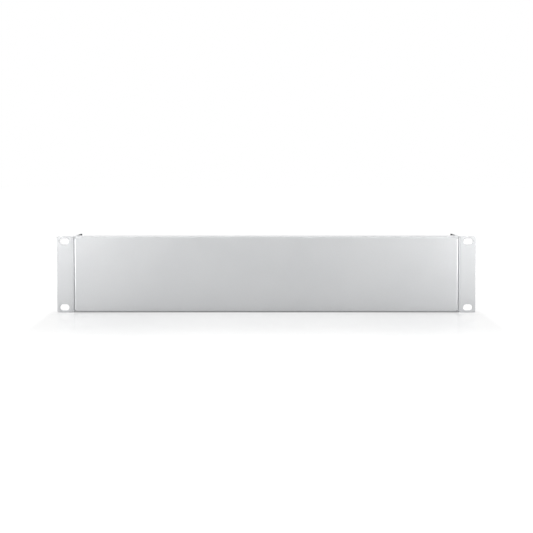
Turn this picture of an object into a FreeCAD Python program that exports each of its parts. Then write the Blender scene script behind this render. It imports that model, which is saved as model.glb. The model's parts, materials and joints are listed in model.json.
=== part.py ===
"""Blanking panel, two units high, for a 19 inch rack.

Three folded sheets of steel make it. A shallow front panel closes the opening, with a flange
folded back along each of its four edges. An L-shaped bracket stands against each side flange:
its short leg is the ear that is screwed to the rack, and its long leg runs back beside the
equipment. Countersunk screws go in through the bracket from outside, into clinch nuts that are
pressed into the side flange.

The frame: X to the right seen from the front, Y back into the rack, Z up. The origin is the
centre of the four rack slots, in the plane of the ears' back faces, where the rails touch.
Left and right are as seen from the front. All lengths are in millimetres.
"""

import FreeCAD, Part
import math
import os
import Sketcher

# Alias, value and meaning of each driving dimension.
DRIVING_SIZES = (
    ("overall_width", 482.6, "across both ears"),
    ("rack_units", 2, "height of the opening, in rack units"),
    ("unit_height", 44.45, "height of one rack unit"),
    ("height_gap", 0.8, "panel lower than its rack units, to clear its neighbours"),
    ("slot_to_unit_edge", 6.35, "rack slot to the top or bottom of the rack units"),
    ("slot_width", 7.0, "rack slot, and twice the radius of its ends"),
    ("slot_travel", 3.5, "rack slot longer than it is wide"),
    ("slot_outer_margin", 3.5, "end of a rack slot to the ear's outer edge"),
    ("slot_inner_margin", 3.2, "end of a rack slot to the bracket's fold"),
    ("ear_corner_radius", 2.0, "outer corners of the ear"),
    ("panel_sheet", 1.2, "sheet thickness of the front panel"),
    ("panel_bend", 0.8, "inside radius of the front panel's folds"),
    ("flange_depth", 20.0, "front panel's flanges, from its front face"),
    ("flange_corner_radius", 3.0, "rear corners of the front panel's flanges"),
    ("relief_slit", 0.5, "gap between two neighbouring folds"),
    ("relief_run", 0.8, "how far the slit runs past the fold into the face"),
    ("bracket_sheet", 2.0, "sheet thickness of the bracket"),
    ("bracket_bend", 0.6, "inside radius of the bracket's fold"),
    ("bracket_depth", 78.0, "long leg, from the front of the ear"),
    ("bracket_corner_radius", 4.0, "rear corners of the long leg"),
    ("screw_count", 3, "screws in each bracket"),
    ("screw_margin", 14.0, "first and last screw to the panel's edge"),
    ("screw_size", 3.0, "thread diameter"),
    ("screw_past_nut", 1.4, "tip of the screw beyond the nut"),
    ("screw_tip_chamfer", 0.4, "at the end of the thread"),
    ("screw_hole_play", 0.2, "between thread and bracket, all round"),
    ("thread_play", 0.05, "between screw and nut, all round"),
    ("countersink_land", 0.45, "bracket's sheet left below the countersunk head"),
    ("head_rim", 0.2, "straight edge of the head"),
    ("head_sink", 0.1, "head below the bracket's outer face"),
    ("recess_margin", 1.25, "tip of the cross recess to the edge of the head"),
    ("recess_wing", 0.7, "width of one wing of the cross recess"),
    ("recess_depth", 1.2, "depth of the cross recess"),
    ("nut_wall", 0.55, "round the thread, where the nut passes the flange"),
    ("nut_ledge", 1.05, "how far the collar stands out beyond the shank"),
    ("nut_collar_height", 1.5, "collar of the clinch nut"),
    ("nut_chamfer", 0.3, "edge of the collar and mouth of the thread"),
    ("nut_shank_short", 0.2, "shank stops this far inside the flange's outer face"),
)

SHEET_NAME = "sizes"
START, END, CENTRE = range(1, 4)  # how a sketch numbers the points of an edge
SKETCH_ORIGIN = (-1, START)
SAME_PLACE = 1e-6


class Size:
    """A length, together with the spreadsheet formula that gives it."""

    def __init__(self, value, formula):
        self.value = float(value)
        self.formula = formula

    def _joined(self, sign, other, value):
        text = other.formula if isinstance(other, Size) else repr(other)
        return Size(value, f"({self.formula} {sign} {text})")

    def __add__(self, other):
        return self._joined("+", other, self.value + getattr(other, "value", other))

    def __sub__(self, other):
        return self._joined("-", other, self.value - getattr(other, "value", other))

    def __mul__(self, other):
        return self._joined("*", other, self.value * getattr(other, "value", other))

    def __truediv__(self, other):
        return self._joined("/", other, self.value / getattr(other, "value", other))

    def __neg__(self):
        return Size(-self.value, f"(-1 * {self.formula})")


class Sizes:
    """The driving dimensions by alias, and the sizes and places worked out from them."""

    def __init__(self, sheet):
        for alias, _, _ in DRIVING_SIZES:
            size = Size(getattr(sheet, alias), f"{SHEET_NAME}.{alias}")
            setattr(self, alias, size)
        self.nothing = self.rack_units * 0
        self.share_between_pieces()
        self.share_between_fasteners()

    def share_between_pieces(self):
        """What the front panel and the brackets have in common."""
        units = self.rack_units * self.unit_height
        self.height = units - self.height_gap
        self.half_height = self.height / 2
        self.front = -self.bracket_sheet
        self.panel_fold = self.panel_sheet + self.panel_bend
        self.slot_length = self.slot_width + self.slot_travel
        self.ear_edge = self.overall_width / 2
        self.slot_x = self.ear_edge - self.slot_outer_margin - self.slot_length / 2
        self.slot_z = units / 2 - self.slot_to_unit_edge
        slot_inner_end = self.slot_x - self.slot_length / 2
        bracket_fold = self.bracket_sheet + self.bracket_bend
        self.half_face = slot_inner_end - self.slot_inner_margin - bracket_fold
        self.flange_rear = self.front + self.flange_depth

    def share_between_fasteners(self):
        """Screws and clinch nuts: one row up the middle of the side flange's flat."""
        self.row_y = self.front + (self.panel_fold + self.flange_depth) / 2
        self.row_base = self.screw_margin - self.half_height
        self.row_length = self.height - self.screw_margin * 2
        self.bracket_outside = self.half_face + self.bracket_sheet
        self.head_top = self.bracket_outside - self.head_sink
        cone_height = (
            self.bracket_sheet - self.head_sink - self.head_rim - self.countersink_land
        )
        self.head_width = self.screw_size + cone_height * 2
        self.nut_bore = self.screw_size + self.thread_play * 2
        self.nut_shank = self.nut_bore + self.nut_wall * 2
        self.nut_collar = self.nut_shank + self.nut_ledge * 2
        self.nut_seat = self.half_face - self.panel_sheet
        self.nut_end = self.nut_seat - self.nut_collar_height


def make_sizes(doc):
    """Writes the driving dimensions into a spreadsheet and reads them back."""
    sheet = doc.addObject("Spreadsheet::Sheet", SHEET_NAME)
    for row, (alias, value, meaning) in enumerate(DRIVING_SIZES, start=1):
        sheet.set(f"A{row}", meaning)
        sheet.set(f"B{row}", str(value))
        sheet.setAlias(f"B{row}", alias)
    doc.recompute()
    return Sizes(sheet)


# ---------------------------------------------------------------- bodies and sketches


def new_body(doc, label):
    """An empty body. Its label names the STEP file of the finished piece."""
    body = doc.addObject("PartDesign::Body", label)
    body.Label = label
    body.AllowCompound = True
    return body


def origin_feature(body, role):
    """One of the body's own origin planes or axes, such as XY_Plane."""
    return next(f for f in body.Origin.OriginFeatures if f.Role == role)


def new_sketch(body, name, plane, height=None):
    """A sketch on one of the body's origin planes, or lifted off it by a height."""
    sketch = body.newObject("Sketcher::SketchObject", name)
    sketch.AttachmentSupport = [(origin_feature(body, plane), "")]
    sketch.MapMode = "FlatFace"
    if height is not None:
        sketch.setExpression("AttachmentOffset.Base.z", height.formula)
    return sketch


def dimension(sketch, name, kind, where, size):
    """Adds a named driving dimension, bound to the spreadsheet."""
    index = sketch.addConstraint(Sketcher.Constraint(kind, *where, size.value))
    sketch.renameConstraint(index, name)
    sketch.setExpression(f"Constraints.{name}", size.formula)


def distance(sketch, name, axis, start, finish, size):
    """Sets how far finish lies from start along X or Y, signed, and stores it as positive."""
    where = (*start, *finish)
    if size.value < 0:
        where = (*finish, *start)
        size = -size
    dimension(sketch, name, "Distance" + axis, where, size)


def line(sketch, start, finish):
    """Draws a straight edge and returns its number."""
    return sketch.addGeometry(Part.LineSegment(start, finish), False)


def arc(sketch, centre, radius, middle_angle, sweep):
    """Draws an arc of the given sweep about a middle direction and returns its number."""
    circle = Part.Circle(centre, FreeCAD.Vector(0, 0, 1), radius)
    ends = (middle_angle - sweep / 2, middle_angle + sweep / 2)
    return sketch.addGeometry(Part.ArcOfCircle(circle, *ends), False)


def join(sketch, kind, *pairs):
    """Joins end points in pairs, meeting (Coincident) or running on smoothly (Tangent)."""
    for first, second in pairs:
        sketch.addConstraint(Sketcher.Constraint(kind, *first, *second))


def level(sketch, kind, *edges):
    """Keeps straight edges Horizontal or Vertical."""
    for edge in edges:
        sketch.addConstraint(Sketcher.Constraint(kind, edge))


def draw_fold(sketch, corner, toward, legs, sheet, bend):
    """Draws the section of a sheet that is folded once, at a right angle.

    corner: where its two outer faces would meet, in sketch X and Y
    toward: +1 or -1 along X and Y, the quadrant that the sheet lies in from there
    legs: length of the leg along X and of the leg along Y, from that corner
    sheet, bend: thickness and inside radius
    """
    side_x, side_y = toward
    run_x, run_y = (leg.value for leg in legs)
    thick = sheet.value
    outer = thick + bend.value

    def at(x, y):
        return FreeCAD.Vector(
            corner[0].value + side_x * x, corner[1].value + side_y * y, 0
        )

    middle = math.atan2(-side_y, -side_x)
    quarter = math.pi / 2
    outer_x = line(sketch, at(run_x, 0), at(outer, 0))
    outer_arc = arc(sketch, at(outer, outer), outer, middle, quarter)
    outer_y = line(sketch, at(0, outer), at(0, run_y))
    cap_y = line(sketch, at(0, run_y), at(thick, run_y))
    inner_y = line(sketch, at(thick, run_y), at(thick, outer))
    inner_arc = arc(sketch, at(outer, outer), bend.value, middle, quarter)
    inner_x = line(sketch, at(outer, thick), at(run_x, thick))
    cap_x = line(sketch, at(run_x, thick), at(run_x, 0))
    end_x, end_y = (END, START) if side_x * side_y > 0 else (START, END)

    join(
        sketch,
        "Tangent",
        ((outer_x, END), (outer_arc, end_x)),
        ((outer_arc, end_y), (outer_y, START)),
        ((inner_y, END), (inner_arc, end_y)),
        ((inner_arc, end_x), (inner_x, START)),
    )
    join(
        sketch,
        "Coincident",
        ((outer_y, END), (cap_y, START)),
        ((cap_y, END), (inner_y, START)),
        ((inner_x, END), (cap_x, START)),
        ((cap_x, END), (outer_x, START)),
        ((outer_arc, CENTRE), (inner_arc, CENTRE)),
    )
    level(sketch, "Horizontal", outer_x, inner_x, cap_y)
    level(sketch, "Vertical", outer_y, inner_y, cap_x)
    distance(sketch, "corner_x", "X", SKETCH_ORIGIN, (outer_y, START), corner[0])
    distance(sketch, "corner_y", "Y", SKETCH_ORIGIN, (outer_x, START), corner[1])
    distance(sketch, "leg_x", "X", (outer_y, START), (outer_x, START), legs[0] * side_x)
    distance(sketch, "leg_y", "Y", (outer_x, START), (outer_y, END), legs[1] * side_y)
    distance(sketch, "sheet", "Y", (cap_x, END), (cap_x, START), sheet * side_y)
    dimension(sketch, "bend", "Radius", (inner_arc,), bend)


def draw_slot(sketch, centre, travel, width):
    """Draws a slot with round ends along the sketch's X, by its straight part and width."""
    reach, radius = travel / 2, width / 2

    def at(x, y):
        return FreeCAD.Vector(centre[0].value + x, centre[1].value + y, 0)

    run, rise = reach.value, radius.value
    top = line(sketch, at(run, rise), at(-run, rise))
    left = arc(sketch, at(-run, 0), rise, math.pi, math.pi)
    base = line(sketch, at(-run, -rise), at(run, -rise))
    right = arc(sketch, at(run, 0), rise, 0, math.pi)
    join(
        sketch,
        "Tangent",
        ((top, END), (left, START)),
        ((left, END), (base, START)),
        ((base, END), (right, START)),
        ((right, END), (top, START)),
    )
    level(sketch, "Horizontal", top)
    distance(sketch, "left_x", "X", SKETCH_ORIGIN, (left, CENTRE), centre[0] - reach)
    distance(sketch, "left_y", "Y", SKETCH_ORIGIN, (left, CENTRE), centre[1])
    distance(sketch, "travel", "X", (left, CENTRE), (right, CENTRE), travel)
    dimension(sketch, "end_radius", "Radius", (left,), radius)


def draw_rectangle(sketch, low, high):
    """Draws an upright rectangle between two corners."""
    left, base = (size.value for size in low)
    right, top = (size.value for size in high)
    points = [
        FreeCAD.Vector(*xy, 0)
        for xy in ((left, base), (right, base), (right, top), (left, top))
    ]
    edges = [line(sketch, points[i], points[(i + 1) % 4]) for i in range(4)]
    join(
        sketch,
        "Coincident",
        *(((edges[i], END), (edges[(i + 1) % 4], START)) for i in range(4)),
    )
    level(sketch, "Horizontal", edges[0], edges[2])
    level(sketch, "Vertical", edges[1], edges[3])
    distance(sketch, "left", "X", SKETCH_ORIGIN, (edges[0], START), low[0])
    distance(sketch, "base", "Y", SKETCH_ORIGIN, (edges[0], START), low[1])
    distance(sketch, "width", "X", (edges[0], START), (edges[0], END), high[0] - low[0])
    distance(sketch, "height", "Y", (edges[1], START), (edges[1], END), high[1] - low[1])


def draw_circle(sketch, centre, width):
    """Draws a circle by its diameter."""
    middle = FreeCAD.Vector(centre[0].value, centre[1].value, 0)
    circle = Part.Circle(middle, FreeCAD.Vector(0, 0, 1), width.value / 2)
    ring = sketch.addGeometry(circle, False)
    distance(sketch, "centre_x", "X", SKETCH_ORIGIN, (ring, CENTRE), centre[0])
    distance(sketch, "centre_y", "Y", SKETCH_ORIGIN, (ring, CENTRE), centre[1])
    dimension(sketch, "width", "Diameter", (ring,), width)


def draw_turned(sketch, axis_height, points):
    """Draws a closed half section to be turned about a line parallel to X.

    axis_height: the line's place along the sketch's Y
    points: distance along X from the sketch's origin, and radius, of each corner in order
    """
    corners = [
        FreeCAD.Vector(x.value, axis_height.value + radius.value, 0)
        for x, radius in points
    ]
    count = len(corners)
    edges = [line(sketch, corners[i], corners[(i + 1) % count]) for i in range(count)]
    join(
        sketch,
        "Coincident",
        *(((edges[i], END), (edges[(i + 1) % count], START)) for i in range(count)),
    )
    for number, (edge, (x, radius)) in enumerate(zip(edges, points)):
        point = (edge, START)
        distance(sketch, f"x{number}", "X", SKETCH_ORIGIN, point, x)
        distance(
            sketch, f"y{number}", "Y", SKETCH_ORIGIN, point, axis_height + radius
        )
    ends = sorted(x.value for x, _ in points)
    axis = sketch.addGeometry(
        Part.LineSegment(
            FreeCAD.Vector(ends[0], axis_height.value, 0),
            FreeCAD.Vector(ends[-1], axis_height.value, 0),
        ),
        True,
    )
    level(sketch, "Horizontal", axis)
    distance(sketch, "axis", "Y", SKETCH_ORIGIN, (axis, START), axis_height)


# ---------------------------------------------------------------- features


def pad_both_ways(body, sketch, name, length):
    """Pads a sketch by half the length to each side of its plane."""
    pad = body.newObject("PartDesign::Pad", name)
    pad.Profile = sketch
    pad.SideType = "Symmetric"
    pad.setExpression("Length", length.formula)
    return pad


def cut_through(body, sketch, name):
    """Cuts a sketch through everything on both sides of its plane."""
    pocket = body.newObject("PartDesign::Pocket", name)
    pocket.Profile = sketch
    pocket.SideType = "Symmetric"
    pocket.Type = "ThroughAll"
    return pocket


def turn(body, sketch, name):
    """Turns a half section once round the construction line of its sketch."""
    turned = body.newObject("PartDesign::Revolution", name)
    turned.Profile = sketch
    turned.ReferenceAxis = (sketch, ["Axis0"])
    turned.Angle = 360
    return turned


def mirror(body, name, originals, plane):
    """Repeats features on the other side of one of the body's origin planes."""
    mirrored = body.newObject("PartDesign::Mirrored", name)
    mirrored.Originals = originals
    mirrored.MirrorPlane = (origin_feature(body, plane), [""])
    body.Tip = mirrored
    return mirrored


def repeat_up_row(body, name, originals, sizes):
    """Repeats features up the row of screws, from its lowest place to its highest."""
    pattern = body.newObject("PartDesign::LinearPattern", name)
    pattern.Originals = originals
    pattern.Direction = (origin_feature(body, "Z_Axis"), [""])
    pattern.Mode = "Extent"
    pattern.setExpression("Occurrences", sizes.screw_count.formula)
    pattern.setExpression("Length", sizes.row_length.formula)
    body.Tip = pattern
    return pattern


def round_edges(body, name, base, radius, chosen):
    """Rounds the edges of the base feature whose end points pass the test."""
    body.Document.recompute()
    names = [
        f"Edge{number}"
        for number, edge in enumerate(base.Shape.Edges, start=1)
        if chosen(*(vertex.Point for vertex in edge.Vertexes))
    ]
    fillet = body.newObject("PartDesign::Fillet", name)
    fillet.Base = (base, names)
    fillet.setExpression("Radius", radius.formula)
    body.Tip = fillet
    return fillet


def same(first, second):
    """Whether two lengths are the same."""
    return abs(first - second) < SAME_PLACE


def runs_along(axis, start, finish):
    """Whether the edge between two points is parallel to an axis: 0, 1 or 2 for X, Y or Z."""
    return all(same(start[i], finish[i]) for i in range(3) if i != axis)


# ---------------------------------------------------------------- pieces


def make_front_panel(doc, sizes):
    """The shallow panel with its four flanges, folded from one sheet."""
    body = new_body(doc, "front_panel")
    sheet, bend, fold = sizes.panel_sheet, sizes.panel_bend, sizes.panel_fold
    half_width, half_height = sizes.half_face, sizes.half_height
    rear = sizes.flange_rear.value

    section = new_sketch(body, "top_flange_section", "YZ_Plane")
    corner = (sizes.front, half_height)
    legs = (sizes.flange_depth, half_height)
    draw_fold(section, corner, (1, -1), legs, sheet, bend)
    top = pad_both_ways(body, section, "top_flange", half_width * 2)
    channel = mirror(body, "bottom_flange", [top], "XY_Plane")
    radius = sizes.flange_corner_radius
    round_edges(
        body,
        "long_flange_corners",
        channel,
        radius,
        lambda a, b: runs_along(2, a, b) and same(a.y, rear),
    )

    outline = new_sketch(body, "side_notch_outline", "XZ_Plane")
    notch_x = half_width - fold - sizes.relief_run
    notch_z = half_height - fold
    draw_rectangle(outline, (notch_x, -notch_z), (half_width + fold, notch_z))
    notch = cut_through(body, outline, "side_notch")

    section = new_sketch(body, "side_flange_section", "XY_Plane")
    corner = (half_width, sizes.front)
    legs = (fold + sizes.relief_run, sizes.flange_depth)
    draw_fold(section, corner, (-1, 1), legs, sheet, bend)
    side_height = sizes.height - (fold + sizes.relief_slit) * 2
    side = pad_both_ways(body, section, "side_flange", side_height)
    both_sides = mirror(body, "other_side_flange", [notch, side], "YZ_Plane")
    half_side = side_height.value / 2
    round_edges(
        body,
        "side_flange_corners",
        both_sides,
        radius,
        lambda a, b: runs_along(0, a, b) and same(a.y, rear) and same(abs(a.z), half_side),
    )

    outline = new_sketch(body, "nut_hole_outline", "YZ_Plane")
    draw_circle(outline, (sizes.row_y, sizes.row_base), sizes.nut_shank)
    hole = cut_through(body, outline, "nut_hole")
    repeat_up_row(body, "nut_holes", [hole], sizes)
    return body


def make_bracket(doc, sizes, label):
    """The L-shaped bracket of the right side: the ear, and the long leg behind it."""
    body = new_body(doc, label)
    half_height = sizes.half_height.value
    rear = (sizes.front + sizes.bracket_depth).value

    section = new_sketch(body, "bracket_section", "XY_Plane")
    corner = (sizes.half_face, sizes.front)
    legs = (sizes.ear_edge - sizes.half_face, sizes.bracket_depth)
    draw_fold(section, corner, (1, 1), legs, sizes.bracket_sheet, sizes.bracket_bend)
    pad_both_ways(body, section, "folded_sheet", sizes.height)

    outline = new_sketch(body, "rack_slot_outline", "XZ_Plane")
    centre = (sizes.slot_x, sizes.slot_z)
    draw_slot(outline, centre, sizes.slot_travel, sizes.slot_width)
    slot = cut_through(body, outline, "rack_slot")
    slots = mirror(body, "rack_slots", [slot], "XY_Plane")

    ear = round_edges(
        body,
        "ear_corners",
        slots,
        sizes.ear_corner_radius,
        lambda a, b: runs_along(1, a, b)
        and same(a.x, sizes.ear_edge.value)
        and same(abs(a.z), half_height),
    )
    round_edges(
        body,
        "leg_corners",
        ear,
        sizes.bracket_corner_radius,
        lambda a, b: runs_along(0, a, b) and same(a.y, rear) and same(abs(a.z), half_height),
    )

    outline = new_sketch(
        body, "screw_hole_outline", "YZ_Plane", sizes.bracket_outside
    )
    hole_width = sizes.screw_size + sizes.screw_hole_play * 2
    draw_circle(outline, (sizes.row_y, sizes.row_base), hole_width)
    doc.recompute()
    hole = body.newObject("PartDesign::Hole", "screw_hole")
    hole.Profile = outline
    hole.DepthType = "ThroughAll"
    hole.ThreadType = "None"
    hole.HoleCutType = "Countersink"
    hole.HoleCutCustomValues = True
    hole.HoleCutCountersinkAngle = 90
    hole.setExpression("Diameter", hole_width.formula)
    mouth = sizes.head_width + (sizes.head_rim + sizes.head_sink) * 2
    hole.setExpression("HoleCutDiameter", mouth.formula)
    repeat_up_row(body, "screw_holes", [hole], sizes)
    return body


def make_screws(doc, sizes, label):
    """The countersunk screws of the right side, with a cross recess in each head."""
    body = new_body(doc, label)
    radius, head = sizes.screw_size / 2, sizes.head_width / 2
    top, chamfer = sizes.head_top, sizes.screw_tip_chamfer
    rim = top - sizes.head_rim
    tip = sizes.nut_end - sizes.screw_past_nut

    section = new_sketch(body, "screw_section", "XY_Plane", sizes.row_base)
    corners = (
        (top, sizes.nothing),
        (top, head),
        (rim, head),
        (rim - head + radius, radius),
        (tip + chamfer, radius),
        (tip, radius - chamfer),
        (tip, sizes.nothing),
    )
    draw_turned(section, sizes.row_y, corners)
    screw = turn(body, section, "screw")

    reach = head - sizes.recess_margin
    half_wing = sizes.recess_wing / 2
    recess = []
    for name, half_y, half_z in (
        ("recess_level", reach, half_wing),
        ("recess_upright", half_wing, reach),
    ):
        outline = new_sketch(body, f"{name}_outline", "YZ_Plane", top)
        low = (sizes.row_y - half_y, sizes.row_base - half_z)
        high = (sizes.row_y + half_y, sizes.row_base + half_z)
        draw_rectangle(outline, low, high)
        wing = body.newObject("PartDesign::Pocket", name)
        wing.Profile = outline
        wing.setExpression("Length", sizes.recess_depth.formula)
        recess.append(wing)
    repeat_up_row(body, "screws", [screw, *recess], sizes)
    return body


def make_clinch_nuts(doc, sizes, label):
    """The clinch nuts of the right side, pressed into the side flange from inside."""
    body = new_body(doc, label)
    bore, chamfer = sizes.nut_bore / 2, sizes.nut_chamfer
    collar, shank = sizes.nut_collar / 2, sizes.nut_shank / 2
    shank_end = sizes.half_face - sizes.nut_shank_short
    seat, end = sizes.nut_seat, sizes.nut_end

    section = new_sketch(body, "nut_section", "XY_Plane", sizes.row_base)
    corners = (
        (shank_end, bore),
        (shank_end, shank),
        (seat, shank),
        (seat, collar),
        (end + chamfer, collar),
        (end, collar - chamfer),
        (end, bore + chamfer),
        (end + chamfer, bore),
    )
    draw_turned(section, sizes.row_y, corners)
    nut = turn(body, section, "nut")
    repeat_up_row(body, "nuts", [nut], sizes)
    return body


def make_side(doc, sizes, side):
    """Bracket, screws and nuts of one side. The left side is the right one turned over."""
    pieces = [
        make_bracket(doc, sizes, f"{side}_ear_bracket"),
        make_screws(doc, sizes, f"{side}_bracket_screws"),
        make_clinch_nuts(doc, sizes, f"{side}_clinch_nuts"),
    ]
    if side == "left":
        half_turn = FreeCAD.Rotation(FreeCAD.Vector(0, 1, 0), 180)
        for piece in pieces:
            piece.Placement = FreeCAD.Placement(FreeCAD.Vector(), half_turn)
    return pieces


def check(doc, pieces):
    """Stops the build if any object failed, or a piece has no valid shape."""
    for item in doc.Objects:
        if "Invalid" in item.State or "Error" in item.State:
            raise RuntimeError(f"{item.Label} failed: {item.State}")
    for piece in pieces:
        if piece.Shape.isNull() or not piece.Shape.isValid():
            raise RuntimeError(f"{piece.Label} has no valid shape")


def main():
    """Builds the document and writes each piece to its STEP file."""
    doc = FreeCAD.newDocument("blanking_panel")
    sizes = make_sizes(doc)
    pieces = [
        make_front_panel(doc, sizes),
        *make_side(doc, sizes, "right"),
        *make_side(doc, sizes, "left"),
    ]
    doc.recompute()
    check(doc, pieces)
    os.makedirs("parts", exist_ok=True)
    for piece in pieces:
        piece.Shape.exportStep(f"parts/{piece.Label}.step")
        solids = piece.Shape.Solids
        volume = sum(solid.Volume for solid in solids)
        print(f"{piece.Label}: {len(solids)} solid(s), {volume:.1f} mm3")


main()
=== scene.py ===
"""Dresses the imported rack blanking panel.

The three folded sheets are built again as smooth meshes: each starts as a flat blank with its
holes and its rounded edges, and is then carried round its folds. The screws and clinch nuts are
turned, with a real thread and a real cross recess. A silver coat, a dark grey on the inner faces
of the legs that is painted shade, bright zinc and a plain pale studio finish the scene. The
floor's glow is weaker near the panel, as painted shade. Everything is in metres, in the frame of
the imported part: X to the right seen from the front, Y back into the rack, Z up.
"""

import json
import logging
import math
from collections.abc import Callable, Sequence
from dataclasses import dataclass
from enum import Enum

import bmesh
import bpy
from mathutils import Euler, Matrix, Vector


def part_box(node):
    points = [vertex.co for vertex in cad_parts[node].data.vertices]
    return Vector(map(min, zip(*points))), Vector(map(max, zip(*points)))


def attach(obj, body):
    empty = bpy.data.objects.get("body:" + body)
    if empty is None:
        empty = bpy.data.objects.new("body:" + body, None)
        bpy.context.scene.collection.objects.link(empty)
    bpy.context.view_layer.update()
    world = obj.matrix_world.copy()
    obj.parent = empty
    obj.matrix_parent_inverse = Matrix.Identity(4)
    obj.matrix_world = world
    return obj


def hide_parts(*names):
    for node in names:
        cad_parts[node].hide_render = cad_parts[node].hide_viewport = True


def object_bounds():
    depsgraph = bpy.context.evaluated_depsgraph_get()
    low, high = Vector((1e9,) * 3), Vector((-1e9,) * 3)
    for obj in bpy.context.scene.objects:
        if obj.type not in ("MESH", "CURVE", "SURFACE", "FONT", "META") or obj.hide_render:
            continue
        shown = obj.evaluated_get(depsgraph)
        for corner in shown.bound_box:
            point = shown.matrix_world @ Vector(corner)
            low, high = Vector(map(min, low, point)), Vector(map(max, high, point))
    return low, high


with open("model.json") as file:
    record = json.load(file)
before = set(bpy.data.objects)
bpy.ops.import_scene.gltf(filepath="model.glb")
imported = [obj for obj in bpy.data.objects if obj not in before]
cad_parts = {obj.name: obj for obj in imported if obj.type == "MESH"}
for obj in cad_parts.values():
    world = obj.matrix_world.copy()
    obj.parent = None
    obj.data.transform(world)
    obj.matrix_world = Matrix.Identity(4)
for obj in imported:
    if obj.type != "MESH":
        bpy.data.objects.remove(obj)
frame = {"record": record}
CAD_LOW, CAD_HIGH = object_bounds()

MM = 0.001
QUARTER_TURN = math.pi / 2
FULL_TURN = math.tau
SAME_PLACE = MM / 1000
CUT_TOLERANCE = MM / 10000
SHARP_EDGE = math.radians(35)
EDGE_STEPS = 3  # straight steps in a quarter turn round a small edge
CONE_EDGE_STEPS = 4  # the same, round the edges of a countersink
LOG = logging.getLogger("blanking_panel")


# ------------------------------------------------------------------ outlines


@dataclass(frozen=True)
class Corner:
    """A corner of an outline, and the radius that rounds it."""

    x: float
    y: float
    radius: float


@dataclass(frozen=True)
class EdgePoint:
    """A point on an outline, and the direction that faces out of the material there."""

    at: Vector
    out: Vector


def right_of(direction: Vector) -> Vector:
    """The direction a quarter turn to the right."""
    return Vector((direction.y, -direction.x))


def round_corner(before: Vector, corner: Corner, after: Vector, steps: int) -> list[EdgePoint]:
    """Replaces one corner by an arc.

    Args:
        before: A place on the edge that leads to the corner.
        corner: The corner, with the radius of its arc.
        after: A place on the edge that leaves it.
        steps: How many straight steps make a quarter turn.

    Returns:
        The points of the arc in order, with the material on the left of the walk.
    """
    middle = Vector((corner.x, corner.y))
    inward = (middle - before).normalized()
    outward = (after - middle).normalized()
    turn = math.atan2(inward.cross(outward), inward.dot(outward))
    side = 1.0 if turn > 0 else -1.0
    start = middle - inward * corner.radius * math.tan(abs(turn) / 2)
    facing = right_of(inward)
    centre = start - facing * corner.radius * side
    count = max(1, round(steps * abs(turn) / QUARTER_TURN))
    points = []
    for step in range(count + 1):
        out = Matrix.Rotation(turn * step / count, 2) @ facing
        points.append(EdgePoint(centre + out * corner.radius * side, out))
    return points


def round_outline(corners: Sequence[Corner], steps: int, closed: bool = True) -> list[EdgePoint]:
    """Rounds an outline that is walked with the material on its left.

    Args:
        corners: The sharp outline. Where it is open, its two ends only give directions.
        steps: How many straight steps make a quarter turn.
        closed: Whether the last corner leads back to the first.

    Returns:
        The points of the rounded outline, with no two in one place.
    """
    places = [Vector((corner.x, corner.y)) for corner in corners]
    count = len(corners)
    points: list[EdgePoint] = []
    for number in range(count) if closed else range(1, count - 1):
        before, after = places[number - 1], places[(number + 1) % count]
        for point in round_corner(before, corners[number], after, steps):
            if not points or (points[-1].at - point.at).length > SAME_PLACE:
                points.append(point)
    if closed and (points[-1].at - points[0].at).length <= SAME_PLACE:
        points.pop()
    return points


def slot_outline(middle: Vector, length: float, width: float, steps: int) -> list[EdgePoint]:
    """The outline of a hole with round ends, walked with the sheet on its left.

    Args:
        middle: The centre of the hole.
        length: Its length from end to end, along X.
        width: Its width, along Y. A round hole is as long as it is wide.
        steps: How many straight steps make a quarter turn.

    Returns:
        The points of the outline.
    """
    reach, rise = length / 2, width / 2
    signs = ((-1, -1), (-1, 1), (1, 1), (1, -1))
    corners = [Corner(middle.x + sx * reach, middle.y + sy * rise, rise) for sx, sy in signs]
    return round_outline(corners, steps)


def plain_section(sheet: float, edge: float) -> list[EdgePoint]:
    """The section of a plain cut edge, as (outward, depth) places with the sheet on the left.

    Args:
        sheet: Thickness of the sheet.
        edge: Radius that breaks each of the two corners.

    Returns:
        The points from the front face round to the back face.
    """
    corners = [
        Corner(-sheet, 0, 0),
        Corner(0, 0, edge),
        Corner(0, sheet, edge),
        Corner(-sheet, sheet, 0),
    ]
    return round_outline(corners, EDGE_STEPS, closed=False)


def countersunk_section(sheet: float, sink: float, edge: float) -> list[EdgePoint]:
    """The section of a hole that is countersunk at 90 degrees from the back face.

    Args:
        sheet: Thickness of the sheet.
        sink: Depth of the countersink.
        edge: Radius that breaks the corners.

    Returns:
        The points from the front face, down the hole and up the cone to the back face.
    """
    corners = [
        Corner(-sheet, 0, 0),
        Corner(0, 0, edge),
        Corner(0, sheet - sink, edge),
        Corner(-sink, sheet, edge),
        Corner(-sink - sheet, sheet, 0),
    ]
    return round_outline(corners, CONE_EDGE_STEPS, closed=False)


# ------------------------------------------------------------------ sheet metal


@dataclass(frozen=True)
class Rim:
    """An edge of a flat blank: where it runs, and its section through the sheet."""

    outline: list[EdgePoint]
    section: list[EdgePoint]


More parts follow.
